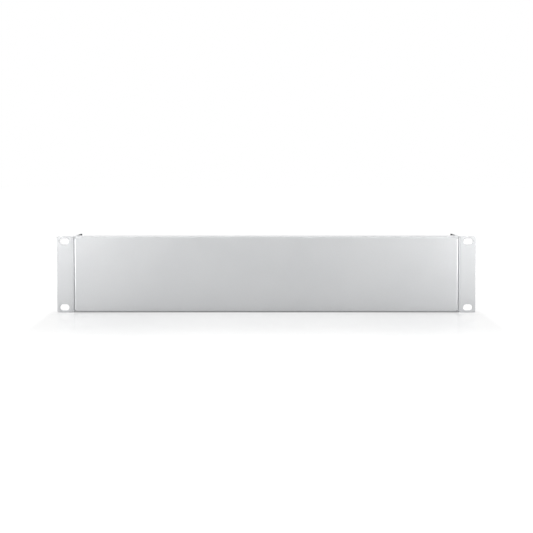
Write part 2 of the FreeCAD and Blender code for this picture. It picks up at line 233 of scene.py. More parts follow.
@dataclass(frozen=True)
class Fold:
    """A fold of a quarter turn, in a sheet of some thickness."""

    outside: float
    sheet: float

    @property
    def run(self) -> float:
        """Length of flat sheet that the fold takes up, along its middle."""
        return (self.outside - self.sheet / 2) * QUARTER_TURN

    def carry(self, past: float, depth: float) -> tuple[float, float, float]:
        """Carries a flat place round the fold.

        Args:
            past: How far the place lies beyond the start of the fold. Less than 0 is before it.
            depth: How deep the place lies under the outer face.

        Returns:
            How far it then lies ahead of the start, how far behind the outer face, and the
            angle that the sheet has turned there.
        """
        angle = min(max(past / self.run, 0.0), 1.0) * QUARTER_TURN
        radius = self.outside - depth
        ahead = min(past, 0.0) + radius * math.sin(angle)
        behind = self.outside - radius * math.cos(angle) + max(past - self.run, 0.0)
        return ahead, behind, angle

    def places(self, start: float, steps: int) -> list[float]:
        """Where the flat sheet is divided so that the fold comes out round."""
        return [start + self.run * step / steps for step in range(steps + 1)]


Carry = Callable[[Vector, Vector], tuple[Vector, Vector]]


class Blank:
    """A flat sheet with rounded edges, divided where it will bend, and then folded.

    A flat place is (x, y, depth): x and y in the plane of the sheet, and the depth under its
    front face. Each vertex keeps the direction that its surface faces, so the finished mesh is
    shaded as the true surface is, whatever its triangles are.
    """

    def __init__(self, rims: Sequence[Rim]) -> None:
        """Builds the flat sheet from its outer rim and the rims of its holes."""
        self.mesh = bmesh.new()
        self.facing = self.mesh.verts.layers.float_vector.new("facing")
        fronts: list[bmesh.types.BMEdge] = []
        backs: list[bmesh.types.BMEdge] = []
        for rim in rims:
            columns = [self._add_column(point, rim.section) for point in rim.outline]
            for left, right in zip(columns, columns[1:] + columns[:1]):
                for row in range(len(left) - 1):
                    self.mesh.faces.new((left[row], right[row], right[row + 1], left[row + 1]))
                fronts.append(self.mesh.edges.get((left[0], right[0])))
                backs.append(self.mesh.edges.get((left[-1], right[-1])))
        for edges in (fronts, backs):
            bmesh.ops.triangle_fill(self.mesh, edges=edges, use_beauty=True)

    def _add_column(
        self, point: EdgePoint, section: Sequence[EdgePoint]
    ) -> list[bmesh.types.BMVert]:
        """Adds the vertices of the edge section at one point of a rim."""
        column = []
        for step in section:
            place = point.at + point.out * step.at.x
            vertex = self.mesh.verts.new((place.x, place.y, step.at.y))
            vertex[self.facing] = (*(point.out * step.out.x), step.out.y)
            column.append(vertex)
        return column

    def divide(self, axis: int, places: Sequence[float], within: float = math.inf) -> None:
        """Cuts the mesh along straight lines, where it will bend.

        Args:
            axis: 0 for lines of one x, 1 for lines of one y.
            places: The x or y of each line.
            within: Only faces whose other coordinate stays this close to 0 are cut.
        """
        direction = Vector((1 - axis, axis, 0))
        for place in places:
            faces = [
                face
                for face in self.mesh.faces
                if all(abs(vertex.co[1 - axis]) <= within for vertex in face.verts)
            ]
            edges = {edge for face in faces for edge in face.edges}
            vertices = {vertex for face in faces for vertex in face.verts}
            bmesh.ops.bisect_plane(
                self.mesh,
                geom=[*vertices, *edges, *faces],
                dist=CUT_TOLERANCE,
                plane_co=direction * place,
                plane_no=direction,
            )

    def paint(self, slot: int, covers: Callable[[Vector], bool]) -> None:
        """Gives another material to part of the sheet, such as the painted shade on a leg's inner
        face.

        Args:
            slot: The number of the material.
            covers: Tells of a flat place whether it lies in the part.
        """
        for face in self.mesh.faces:
            if all(covers(vertex.co) for vertex in face.verts):
                face.material_index = slot

    def finish(self, name: str, carry: Carry) -> bpy.types.Object:
        """Folds the sheet and makes it an object.

        Args:
            name: The name of the piece.
            carry: Takes a flat place and the way it faces, and gives both in the frame.

        Returns:
            The folded sheet.
        """
        facings = []
        for vertex in self.mesh.verts:
            vertex.co, facing = carry(vertex.co.copy(), vertex[self.facing].copy())
            facings.append(facing.normalized())
        self.mesh.verts.layers.float_vector.remove(self.facing)
        piece = make_object(name, self.mesh)
        piece.data.normals_split_custom_set_from_vertices(facings)
        return piece


def make_object(name: str, mesh: bmesh.types.BMesh) -> bpy.types.Object:
    """Turns a closed bmesh into an object with smooth faces that look outward."""
    bmesh.ops.recalc_face_normals(mesh, faces=mesh.faces)
    if mesh.calc_volume(signed=True) < 0:
        bmesh.ops.reverse_faces(mesh, faces=mesh.faces)
    data = bpy.data.meshes.new(name)
    mesh.to_mesh(data)
    mesh.free()
    data.shade_smooth()
    piece = bpy.data.objects.new(name, data)
    bpy.context.scene.collection.objects.link(piece)
    return piece


def outfit(
    piece: bpy.types.Object, node: str, slot: str, *materials: bpy.types.Material
) -> None:
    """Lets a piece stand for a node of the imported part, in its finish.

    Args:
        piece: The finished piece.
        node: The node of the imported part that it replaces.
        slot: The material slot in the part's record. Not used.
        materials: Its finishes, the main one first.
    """
    for material in materials:
        piece.data.materials.append(material)
    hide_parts(node)
    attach(piece, "root")
    LOG.info("%s stands for %s: %d faces", piece.name, node, len(piece.data.polygons))


class Side(Enum):
    """The side of the panel that a piece is on, seen from the front."""

    RIGHT = "right"
    LEFT = "left"

    def place(self, vector: Vector) -> Vector:
        """Carries a place of the right side to this side, turned over about Y."""
        if self is Side.RIGHT:
            return vector
        return Vector((-vector.x, vector.y, -vector.z))


@dataclass(frozen=True)
class FastenerRow:
    """The screws and nuts of the right side: where their row stands."""

    count: int = 3

    @property
    def setback(self) -> float:
        """How far back the row lies, along Y."""
        low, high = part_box("right_bracket_screws")
        return (low.y + high.y) / 2

    @property
    def heights(self) -> list[float]:
        """The height of each screw, from the lowest up."""
        low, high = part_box("right_bracket_screws")
        half_head = (high.y - low.y) / 2
        base, top = low.z + half_head, high.z - half_head
        return [base + (top - base) * number / (self.count - 1) for number in range(self.count)]


@dataclass(frozen=True)
class FrontPanel:
    """The shallow panel, folded from one sheet, with a flange along each edge."""

    sheet: float = 1.2 * MM
    bend: float = 0.8 * MM
    slit: float = 0.5 * MM
    slit_run: float = 0.8 * MM
    flange_corner: float = 3.0 * MM
    strip_corner: float = 0.4 * MM
    edge: float = 0.2 * MM
    nut_hole: float = 4.2 * MM
    fold_steps: int = 12
    corner_steps: int = 6

    def build(self, row: FastenerRow) -> bpy.types.Object:
        """Cuts the blank, folds its four flanges and returns the panel."""
        low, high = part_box("front_panel")
        fold = Fold(self.sheet + self.bend, self.sheet)
        side_start = high.x - fold.outside
        long_start = high.z - fold.outside
        flange = high.y - low.y - fold.outside
        middle_of_slit = long_start - self.slit / 2

        rims = [Rim(self._outline(high, fold, flange), plain_section(self.sheet, self.edge))]
        hole_x = side_start + fold.run + row.setback - low.y - fold.outside
        for sign in (1, -1):
            for height in row.heights:
                middle = Vector((sign * hole_x, height))
                outline = slot_outline(middle, self.nut_hole, self.nut_hole, self.corner_steps)
                rims.append(Rim(outline, plain_section(self.sheet, self.edge)))
        blank = Blank(rims)
        for sign in (1, -1):
            lines = [sign * place for place in fold.places(long_start, self.fold_steps)]
            blank.divide(1, lines)
        for sign in (1, -1):
            blank.divide(0, [sign * (side_start - self.slit_run / 2)])
            lines = [sign * place for place in fold.places(side_start, self.fold_steps)]
            blank.divide(0, lines, within=middle_of_slit)

        def carry(place: Vector, facing: Vector) -> tuple[Vector, Vector]:
            """Folds the long flanges above and below the slits, and the side ones between."""
            axis = 1 if abs(place.y) > middle_of_slit else 0
            start = long_start if axis else side_start
            sign = math.copysign(1.0, place[axis])
            ahead, behind, angle = fold.carry(abs(place[axis]) - start, place.z)
            flat = [place.x, place.y]
            flat[axis] = sign * (start + ahead)
            along, deep = sign * facing[axis], facing.z
            turned = [facing.x, facing.y]
            turned[axis] = sign * (along * math.cos(angle) - deep * math.sin(angle))
            backward = along * math.sin(angle) + deep * math.cos(angle)
            return (
                Vector((flat[0], low.y + behind, flat[1])),
                Vector((turned[0], backward, turned[1])),
            )

        return blank.finish("folded_front_panel", carry)

    def _outline(self, high: Vector, fold: Fold, flange: float) -> list[EdgePoint]:
        """The outline of the flat blank, a cross with a slit at each inner corner."""
        long_start = high.z - fold.outside
        side_start = high.x - fold.outside
        side_top = long_start - self.slit
        slit_end = side_start - self.slit_run
        quadrant = [
            Corner(side_start + fold.run + flange, side_top, self.flange_corner),
            Corner(slit_end, side_top, self.slit / 2),
            Corner(slit_end, long_start, self.slit / 2),
            Corner(high.x, long_start, self.strip_corner),
            Corner(high.x, long_start + fold.run + flange, self.flange_corner),
        ]
        corners: list[Corner] = []
        for sign_x, sign_y in ((1, 1), (-1, 1), (-1, -1), (1, -1)):
            part = [Corner(sign_x * c.x, sign_y * c.y, c.radius) for c in quadrant]
            corners += part if sign_x == sign_y else part[::-1]
        return round_outline(corners, self.corner_steps)


@dataclass(frozen=True)
class EarBracket:
    """An L-shaped bracket: the ear with its two rack slots, and the long leg behind it."""

    sheet: float = 2.0 * MM
    bend: float = 0.6 * MM
    slot_length: float = 10.5 * MM
    slot_width: float = 7.0 * MM
    ear_corner: float = 2.0 * MM
    leg_corner: float = 4.0 * MM
    edge: float = 0.25 * MM
    screw_hole: float = 3.4 * MM
    countersink: float = 6.1 * MM
    fold_steps: int = 12
    corner_steps: int = 8

    def build(self, side: Side, row: FastenerRow) -> bpy.types.Object:
        """Cuts the blank, folds it once and returns the bracket of one side."""
        low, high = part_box("right_ear_bracket")
        fold = Fold(self.sheet + self.bend, self.sheet)
        fold_x = low.x + fold.outside
        ear_end = fold_x - high.x
        leg_end = fold.run + high.y - low.y - fold.outside

        corners = [
            Corner(ear_end, low.z, self.ear_corner),
            Corner(leg_end, low.z, self.leg_corner),
            Corner(leg_end, high.z, self.leg_corner),
            Corner(ear_end, high.z, self.ear_corner),
        ]
        outline = round_outline(corners, self.corner_steps)
        plain = plain_section(self.sheet, self.edge)
        rims = [Rim(outline, plain)]
        pattern = mount_pattern("rack_slots")
        for sign in (1, -1):
            middle = Vector((fold_x - pattern.x, sign * pattern.y))
            outline = slot_outline(middle, self.slot_length, self.slot_width, self.corner_steps)
            rims.append(Rim(outline, plain))
        sink = (self.countersink - self.screw_hole) / 2
        cone = countersunk_section(self.sheet, sink, self.edge / 2)
        hole_x = fold.run + row.setback - low.y - fold.outside
        for height in row.heights:
            middle = Vector((hole_x, height))
            outline = slot_outline(middle, self.screw_hole, self.screw_hole, self.corner_steps)
            rims.append(Rim(outline, cone))
        blank = Blank(rims)
        blank.divide(0, fold.places(0.0, self.fold_steps))
        # Painted shade: the flat inner face of the leg takes the dark second material, which
        # stands in for the shade that falls there.
        blank.paint(1, lambda place: place.z < SAME_PLACE and place.x > fold.run - SAME_PLACE)

        def carry(place: Vector, facing: Vector) -> tuple[Vector, Vector]:
            """Folds the leg back from the ear."""
            ahead, behind, angle = fold.carry(place.x, place.z)
            along = facing.x * math.cos(angle) - facing.z * math.sin(angle)
            backward = facing.x * math.sin(angle) + facing.z * math.cos(angle)
            return (
                side.place(Vector((fold_x - ahead, low.y + behind, place.y))),
                side.place(Vector((-along, backward, facing.y))),
            )

        return blank.finish(f"folded_{side.value}_ear_bracket", carry)


def mount_pattern(name: str) -> Vector:
    """Half the spacing of a bolt pattern's holes, across and up, in metres."""
    mount = next(m for m in frame["record"]["mounts"] if m["name"] == name)
    dims = mount["dims"]
    return Vector((dims["spacing_x_mm"], dims["spacing_y_mm"])) * MM / 2


# ------------------------------------------------------------------ fasteners


class Turning:
    """A turned piece whose axis is parallel to X, built ring by ring."""

    def __init__(self, mesh: bmesh.types.BMesh, centre: Vector, segments: int) -> None:
        """Starts a piece on the line through a centre, in a mesh that may hold others."""
        self.mesh = mesh
        self.centre = centre
        self.segments = segments
        self.rings: list[list[bmesh.types.BMVert]] = []

    def ring(self, along: float, radius: Callable[[float], float]) -> None:
        """Adds a ring of vertices.

        Args:
            along: The X of the ring.
            radius: Gives the radius for each angle round the axis.
        """
        vertices = []
        for segment in range(self.segments):
            angle = FULL_TURN * segment / self.segments
            reach = radius(angle)
            across = self.centre.y + reach * math.cos(angle)
            up = self.centre.z + reach * math.sin(angle)
            vertices.append(self.mesh.verts.new((along, across, up)))
        self.rings.append(vertices)

    def section(self, points: Sequence[EdgePoint]) -> None:
        """Adds a plain ring for each (along, radius) point of a section."""
        for point in points:
            self.ring(point.at.x, lambda angle, radius=point.at.y: radius)

    def skin(self, closed: bool) -> None:
        """Joins each ring to the next, and the last to the first where it is closed."""
        following = self.rings[1:] + (self.rings[:1] if closed else [])
        for near, far in zip(self.rings, following):
            for number in range(self.segments):
                after = (number + 1) % self.segments
                self.mesh.faces.new((near[number], near[after], far[after], far[number]))


@dataclass(frozen=True)
class BracketScrew:
    """A countersunk machine screw with a cross recess."""

    size: float = 3.0 * MM
    pitch: float = 0.5 * MM
    thread_depth: float = 0.27 * MM
    vee_steepness: float = 1.25
    head: float = 5.5 * MM
    rim: float = 0.2 * MM
    edge: float = 0.06 * MM
    tip_chamfer: float = 0.4 * MM
    recess_span: float = 3.0 * MM
    recess_wing: float = 0.75 * MM
    recess_floor: float = 0.45
    wing_kept: float = 0.4
    recess_depth: float = 1.2 * MM
    recess_wall: float = 0.85
    segments: int = 48
    rings_per_turn: int = 8

    def build(self, side: Side, row: FastenerRow) -> bpy.types.Object:
        """Makes the screws of one side as one piece."""
        low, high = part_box("right_bracket_screws")
        mesh = bmesh.new()
        for height in row.heights:
            self._turn(mesh, Vector((high.x, row.setback, height)), low.x)
        for vertex in mesh.verts:
            vertex.co = side.place(vertex.co.copy())
        piece = make_object(f"{side.value}_turned_screws", mesh)
        piece.data.set_sharp_from_angle(angle=SHARP_EDGE)
        return piece

    def _turn(self, mesh: bmesh.types.BMesh, top: Vector, tip: float) -> None:
        """Turns one screw from the centre of its head's top face to the X of its tip."""
        lathe = Turning(mesh, top, self.segments)
        radius, head = self.size / 2, self.head / 2
        cone_end = top.x - self.rim - head + radius
        head_corners = [
            Corner(top.x, 0, 0),
            Corner(top.x, head, self.edge),
            Corner(top.x - self.rim, head, self.edge),
            Corner(cone_end, radius, 0),
        ]
        lathe.section(round_outline(head_corners, EDGE_STEPS, closed=False))
        lathe.ring(cone_end, lambda angle: radius)
        self._cut_thread(lathe, cone_end, tip)
        lathe.skin(closed=False)
        end = mesh.verts.new((tip, top.y, top.z))
        last = lathe.rings[-1]
        for number, vertex in enumerate(last):
            mesh.faces.new((vertex, last[(number + 1) % self.segments], end))
        self._press_recess(mesh, lathe.rings[0], top)

    def _cut_thread(self, lathe: Turning, start: float, tip: float) -> None:
        """Adds the rings of the thread, which runs out at both ends."""
        count = math.ceil((start - tip) / self.pitch * self.rings_per_turn)
        for number in range(1, count + 1):
            along = start + (tip - start) * number / count
            fade = min(1.0, (start - along) / self.pitch)
            crest = self.size / 2 - max(0.0, self.tip_chamfer - (along - tip))

            def radius(angle: float, along: float = along, fade: float = fade) -> float:
                """The thread's radius at an angle: a symmetric vee that climbs as it turns."""
                phase = (along / self.pitch - angle / FULL_TURN) % 1.0
                vee = abs(2.0 * phase - 1.0)
                depth = self.thread_depth * fade * min(1.0, self.vee_steepness * vee)
                return min(crest, self.size / 2 - depth)

            lathe.ring(along, radius)

    def _press_recess(
        self, mesh: bmesh.types.BMesh, rim: list[bmesh.types.BMVert], top: Vector
    ) -> None:
        """Fills the head's top face round a cross, and sinks the cross into it."""
        upper = self._cross(mesh, top, 1.0, 0.0)
        foot = self.recess_depth * self.recess_wall
        lower = self._cross(mesh, top, self.recess_floor, foot)
        count = len(upper)
        for number in range(count):
            after = (number + 1) % count
            mesh.faces.new((upper[number], upper[after], lower[after], lower[number]))
        floor = mesh.verts.new((top.x - self.recess_depth, top.y, top.z))
        for number in range(count):
            mesh.faces.new((lower[number], lower[(number + 1) % count], floor))
        edges = [mesh.edges.get((rim[n], rim[(n + 1) % len(rim)])) for n in range(len(rim))]
        edges += [mesh.edges.get((upper[n], upper[(n + 1) % count])) for n in range(count)]
        bmesh.ops.triangle_fill(mesh, edges=edges, use_beauty=True)

    def _cross(
        self, mesh: bmesh.types.BMesh, top: Vector, share: float, depth: float
    ) -> list[bmesh.types.BMVert]:
        """Adds the outline of the cross at some depth, its span reduced to a share."""
        reach = self.recess_span / 2 * share
        wing = self.recess_wing / 2 * (self.wing_kept + (1 - self.wing_kept) * share)
        tip_radius, crook_radius = wing / 2, wing / 3
        arm = [
            Corner(reach, -wing, tip_radius),
            Corner(reach, wing, tip_radius),
            Corner(wing, wing, crook_radius),
        ]
        corners = []
        for quarter in range(4):
            turn = Matrix.Rotation(quarter * QUARTER_TURN, 2)
            for corner in arm:
                place = turn @ Vector((corner.x, corner.y))
                corners.append(Corner(place.x, place.y, corner.radius))
        points = round_outline(corners, EDGE_STEPS)
        return [
            mesh.verts.new((top.x - depth, top.y + p.at.x, top.z + p.at.y)) for p in points
        ]


@dataclass(frozen=True)
class ClinchNut:
    """A round nut pressed into the side flange, its collar standing inside the panel."""

    bore: float = 3.1 * MM
    shank: float = 4.2 * MM
    collar: float = 6.3 * MM
    collar_height: float = 1.5 * MM
    chamfer: float = 0.3 * MM
    edge: float = 0.08 * MM
    segments: int = 48

    def build(self, side: Side, row: FastenerRow) -> bpy.types.Object:
        """Makes the nuts of one side as one piece."""
        low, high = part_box("right_clinch_nuts")
        seat = low.x + self.collar_height
        bore, shank, collar = self.bore / 2, self.shank / 2, self.collar / 2
        corners = [
            Corner(high.x, bore, self.edge),
            Corner(high.x, shank, self.edge),
            Corner(seat, shank, self.edge),
            Corner(seat, collar, self.edge),
            Corner(low.x + self.chamfer, collar, self.edge),
            Corner(low.x, collar - self.chamfer, self.edge),
            Corner(low.x, bore + self.chamfer, self.edge),
            Corner(low.x + self.chamfer, bore, self.edge),
        ]
        points = round_outline(corners, EDGE_STEPS)
        mesh = bmesh.new()
        for height in row.heights:
            lathe = Turning(mesh, Vector((low.x, row.setback, height)), self.segments)
            lathe.section(points)
            lathe.skin(closed=True)
        for vertex in mesh.verts:
            vertex.co = side.place(vertex.co.copy())
        piece = make_object(f"{side.value}_turned_nuts", mesh)
        piece.data.set_sharp_from_angle(angle=SHARP_EDGE)
        return piece


# ------------------------------------------------------------------ finishes


GRAIN_BAND = (0.8, 1.0)
CLOUD_BAND = (0.3, 0.7)
SMEAR_BAND = (0.45, 0.75)
SMEAR_STRETCH = (0.35, 1.0, 1.0)

Feed = float | int | tuple[float, ...] | bpy.types.NodeSocket


class Wiring:
    """Adds nodes to a tree and joins them."""

    def __init__(self, tree: bpy.types.NodeTree) -> None:
        """Starts on a tree, emptied of its nodes."""
        self.tree = tree
        tree.nodes.clear()

    def add(
        self, kind: str, feeds: dict[str | int, Feed] | None = None, **settings: object
    ) -> bpy.types.Node:
        """Adds a node.

        Args:
            kind: The node's type.
            feeds: For each input, by its name or number, a value or the socket that feeds it.
            settings: The node's own settings, by name.

        Returns:
            The node.
        """
        node = self.tree.nodes.new(kind)
        for name, value in settings.items():
            setattr(node, name, value)
        for key, feed in (feeds or {}).items():
            if isinstance(feed, bpy.types.NodeSocket):
                self.tree.links.new(feed, node.inputs[key])
            else:
                node.inputs[key].default_value = feed
        return node

    def math(self, operation: str, *feeds: Feed) -> bpy.types.NodeSocket:
        """Adds a Math node and returns its result."""
        node = self.add("ShaderNodeMath", dict(enumerate(feeds)), operation=operation)
        return node.outputs[0]

    def mix_colors(
        self, mask: Feed, first: Feed, second: Feed
    ) -> bpy.types.NodeSocket:
        """Adds a node that passes from one colour to another as a mask goes from 0 to 1."""
        node = self.add("ShaderNodeMix", {0: mask, 6: first, 7: second}, data_type="RGBA")
        return node.outputs[2]

    def ease(
        self, value: Feed, start: Feed, end: Feed, first: Feed = 0.0, last: Feed = 1.0
    ) -> bpy.types.NodeSocket:
        """Adds a node that goes smoothly from one value to another.

        Args:
            value: What the change follows.
            start: Where the change starts.
            end: Where it ends.
            first: The result up to the start.
            last: The result from the end on.

        Returns:
            The result.
        """
        names = ("Value", "From Min", "From Max", "To Min", "To Max")
        feeds = dict(zip(names, (value, start, end, first, last)))
        node = self.add("ShaderNodeMapRange", feeds, interpolation_type="SMOOTHSTEP")
        return node.outputs["Result"]


class Effect:
    """A node group of float sockets that several finishes share."""

    def __init__(self, name: str, inputs: dict[str, float], outputs: Sequence[str]) -> None:
        """Starts a group with its inputs, at their defaults, and its outputs."""
        self.tree = bpy.data.node_groups.new(name, "ShaderNodeTree")
        self.wiring = Wiring(self.tree)
        for label, value in inputs.items():
            self._socket(label, "INPUT").default_value = value
        for label in outputs:
            self._socket(label, "OUTPUT")
        self.given = self.wiring.add("NodeGroupInput").outputs
        self.place = self.wiring.add("ShaderNodeTexCoord").outputs["Object"]

    def _socket(self, label: str, way: str) -> bpy.types.NodeTreeInterfaceSocket:
        """Adds one float socket to the group's interface."""
        return self.tree.interface.new_socket(
            label, in_out=way, socket_type="NodeSocketFloat"
        )

    def close(self, results: dict[str, bpy.types.NodeSocket]) -> bpy.types.NodeTree:
        """Feeds the group's outputs and returns its tree."""
        self.wiring.add("NodeGroupOutput", dict(results))
        return self.tree


def make_coat_texture() -> bpy.types.NodeTree:
    """The close texture of a sprayed or plated skin.

    Returns:
        A group that gives a height, for the soft swell of the skin, and a mask of the single
        grains that catch the light.
    """
    effect = Effect("coat_texture", {"Swell": 1.2 * MM, "Grain": 0.2 * MM}, ("Height", "Grains"))
    wiring = effect.wiring
    swell = wiring.add(
        "ShaderNodeTexNoise",
        {
            "Vector": effect.place,
            "Scale": wiring.math("DIVIDE", 1.0, effect.given["Swell"]),
            "Detail": 2.0,
            "Roughness": 0.4,
        },
    )
    cells = wiring.add(
        "ShaderNodeTexVoronoi",
        {
            "Vector": effect.place,
            "Scale": wiring.math("DIVIDE", 1.0, effect.given["Grain"]),
        },
    )
    lot = wiring.add("ShaderNodeSeparateColor", {"Color": cells.outputs["Color"]})
    grains = wiring.ease(lot.outputs["Red"], *GRAIN_BAND)
    return effect.close({"Height": swell.outputs["Fac"], "Grains": grains})


def make_handling() -> bpy.types.NodeTree:
    """The broad, faint clouding that spraying, plating and handling leave.

    Returns:
        A group that gives a mask of the clouds, and a mask of finer smears.
    """
    effect = Effect("handling", {"Cloud": 70.0 * MM, "Smear": 9.0 * MM}, ("Clouds", "Smears"))
    wiring = effect.wiring
    clouds = wiring.add(
        "ShaderNodeTexNoise",
        {
            "Vector": effect.place,
            "Scale": wiring.math("DIVIDE", 1.0, effect.given["Cloud"]),
            "Detail": 2.0,
            "Roughness": 0.45,
            "Distortion": 0.4,
        },
    )
    stretched = wiring.add(
        "ShaderNodeMapping", {"Vector": effect.place, "Scale": SMEAR_STRETCH}
    )
    smears = wiring.add(
        "ShaderNodeTexNoise",
        {
            "Vector": stretched.outputs["Vector"],
            "Scale": wiring.math("DIVIDE", 1.0, effect.given["Smear"]),
            "Detail": 4.0,
            "Roughness": 0.6,
        },
    )
    return effect.close(
        {
            "Clouds": wiring.ease(clouds.outputs["Fac"], *CLOUD_BAND),
            "Smears": wiring.ease(smears.outputs["Fac"], *SMEAR_BAND),
        }
    )


@dataclass(frozen=True)
class Finish:
    """A painted or plated skin, or a painted shade: its tone, its gloss and its texture."""

    name: str
    tone: tuple[float, float, float]
    clouded: tuple[float, float, float]
    grain_tone: tuple[float, float, float]
    grain_share: float
    metallic: float
    clean_roughness: float
    smeared_roughness: float
    swell: float
    grain: float
    relief: float
    shine: float = 0.5

    def build(
        self, texture: bpy.types.NodeTree, handling: bpy.types.NodeTree
    ) -> bpy.types.Material:
        """Wires the finish into a material.

        Args:
            texture: The group that gives the close texture.
            handling: The group that gives the clouds and smears.

        Returns:
            The material.
        """
        material = bpy.data.materials.new(self.name)
        material.use_nodes = True
        wiring = Wiring(material.node_tree)
        skin = wiring.add(
            "ShaderNodeGroup", {"Swell": self.swell, "Grain": self.grain}, node_tree=texture
        )
        marks = wiring.add("ShaderNodeGroup", node_tree=handling)
        color = wiring.mix_colors(marks.outputs["Clouds"], (*self.tone, 1.0), (*self.clouded, 1.0))
        grains = wiring.math("MULTIPLY", skin.outputs["Grains"], self.grain_share)
        color = wiring.mix_colors(grains, color, (*self.grain_tone, 1.0))
        roughness = wiring.ease(
            marks.outputs["Smears"], 0.0, 1.0, self.clean_roughness, self.smeared_roughness
        )
        bump = wiring.add(
            "ShaderNodeBump",
            {"Strength": 1.0, "Distance": self.relief, "Height": skin.outputs["Height"]},
        )
        shader = wiring.add(
            "ShaderNodeBsdfPrincipled",
            {
                "Base Color": color,
                "Metallic": self.metallic,
                "Roughness": roughness,
                "Specular IOR Level": self.shine,
                "Normal": bump.outputs["Normal"],
            },
        )
        wiring.add("ShaderNodeOutputMaterial", {"Surface": shader.outputs["BSDF"]})
        return material


SILVER_COAT = Finish(
    name="silver_satin_coat",
    tone=(0.610, 0.620, 0.630),
    clouded=(0.632, 0.641, 0.650),
    grain_tone=(0.80, 0.81, 0.82),
    grain_share=0.25,
    metallic=0.5,
    clean_roughness=0.28,
    smeared_roughness=0.32,
    swell=1.1 * MM,
    grain=0.18 * MM,
    relief=0.006 * MM,
)

# Painted shade: this dark grey on the inner faces of the legs stands in for the shade that falls
# there.
INNER_FACE_PAINTED_SHADE = Finish(
    name="inner_face_painted_shade",
    tone=(0.160, 0.163, 0.168),
    clouded=(0.190, 0.193, 0.198),
    grain_tone=(0.28, 0.29, 0.30),
    grain_share=0.25,
    metallic=0.0,
    clean_roughness=0.70,
    smeared_roughness=0.85,
    swell=0.7 * MM,
    grain=0.2 * MM,
    relief=0.01 * MM,
    shine=0.0,
)

ZINC_PLATE = Finish(
    name="bright_zinc",
    tone=(0.600, 0.612, 0.625),
    clouded=(0.650, 0.655, 0.660),
    grain_tone=(0.76, 0.77, 0.79),
    grain_share=0.35,
    metallic=1.0,
    clean_roughness=0.26,
    smeared_roughness=0.36,
    swell=0.5 * MM,
    grain=0.12 * MM,
    relief=0.004 * MM,
)


# ------------------------------------------------------------------ studio


@dataclass(frozen=True)
class SoftBox:
    """A soft rectangular lamp that faces the panel, from the front, above or behind."""

    name: str
    place: tuple[float, float, float]
    width: float
    height: float
    power: float

    def build(self) -> None:
        """Hangs the lamp and turns it to the frame's origin, between the ears."""
        data = bpy.data.lights.new(self.name, "AREA")
        data.shape = "RECTANGLE"
        data.size, data.size_y = self.width, self.height
        data.energy = self.power
        lamp = bpy.data.objects.new(self.name, data)
        lamp.location = self.place
        lamp.rotation_euler = (-Vector(self.place)).to_track_quat("-Z", "Y").to_euler()
        lamp.visible_camera = False
        bpy.context.scene.collection.objects.link(lamp)


